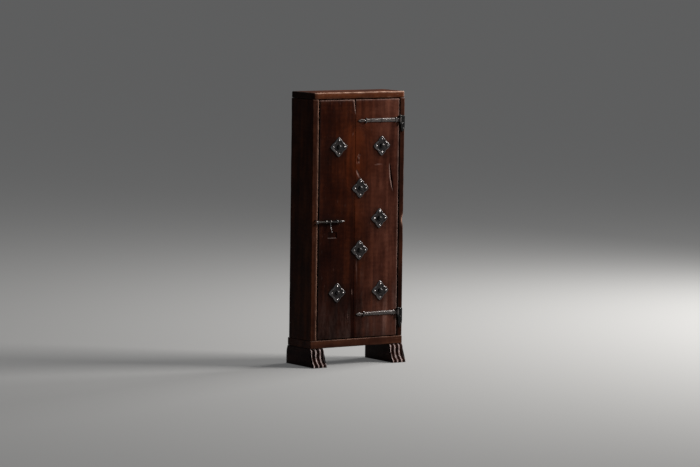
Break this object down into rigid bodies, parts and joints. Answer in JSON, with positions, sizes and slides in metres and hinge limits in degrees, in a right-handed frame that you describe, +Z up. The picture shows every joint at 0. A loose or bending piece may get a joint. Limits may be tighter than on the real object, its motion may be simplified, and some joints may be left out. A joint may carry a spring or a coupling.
{
  "type": "one-door plank cupboard",
  "caption": "Tall narrow rustic wooden cupboard with one plank door on iron strap hinges, diamond iron rosettes, a sliding bolt with drop handle, and fluted sledge feet.",
  "frame": {"origin": "centre of the footprint box on the floor", "axes": "+Z up, the front with the door faces -Y, +X to the viewer's right when facing the front"},
  "size_m": [0.527, 0.24, 1.3],
  "materials": {
    "frame_wood": "waxed, dark brown, worn to red-brown on the edges",
    "door_wood": "waxed, very dark red-brown with streaked grain",
    "inner_wood": "unfinished, aged brown",
    "peg_wood": "end grain, waxed",
    "wrought_iron": "forged, dark, rubbed bright on the edges",
    "nail_iron": "forged, rubbed bright on the crowns"
  },
  "bodies": {
    "carcass": {"back_board_left": "inner_wood", "back_board_middle": "inner_wood", "back_board_right": "inner_wood", "back_nails": "nail_iron", "base_pegs": "peg_wood", "bolt_keeper": "wrought_iron", "bottom_board": "frame_wood", "cleat_nails": "nail_iron", "door_stop": "inner_wood", "foot_pegs": "peg_wood", "leaf_nails": "nail_iron", "left_foot": "frame_wood", "left_side": "frame_wood", "lower_hinge_leaf": "wrought_iron", "lower_hinge_pin": "wrought_iron", "lower_shelf": "inner_wood", "right_foot": "frame_wood", "right_side": "frame_wood", "shelf_cleats": "inner_wood", "top_board": "frame_wood", "top_pegs": "peg_wood", "upper_hinge_leaf": "wrought_iron", "upper_hinge_pin": "wrought_iron", "upper_shelf": "inner_wood"},
    "door": {"door_plank_left": "door_wood", "door_plank_right": "door_wood", "upper_ledge": "inner_wood", "lower_ledge": "inner_wood", "ledge_pegs": "peg_wood", "upper_hinge_strap": "wrought_iron", "lower_hinge_strap": "wrought_iron", "strap_nails": "nail_iron", "bolt_staple_left": "wrought_iron", "bolt_staple_right": "wrought_iron", "rosette_nails": "nail_iron", "rosette_bosses": "nail_iron", "rosette_beside_bolt": "wrought_iron", "rosette_bottom_left": "wrought_iron", "rosette_bottom_right": "wrought_iron", "rosette_lower_middle": "wrought_iron", "rosette_top_left": "wrought_iron", "rosette_top_right": "wrought_iron", "rosette_upper_middle": "wrought_iron"},
    "bolt": {"bolt_rod": "wrought_iron"},
    "handle": {"bolt_handle": "wrought_iron"}
  },
  "joints": [
    {"name": "door_hinge", "type": "hinge", "parent": "carcass", "child": "door", "pos_m": [0.2305, -0.094, 0.7], "axis": [0, 0, 1], "range_deg": [0, 160]},
    {"name": "bolt_slide", "type": "slide", "parent": "door", "child": "bolt", "axis": [1, 0, 0], "range_m": [-0.014, 0.028]},
    {"name": "handle_swing", "type": "hinge", "parent": "bolt", "child": "handle", "pos_m": [-0.165, -0.098, 0.69], "axis": [-1, 0, 0], "range_deg": [0, 100]}
  ]
}
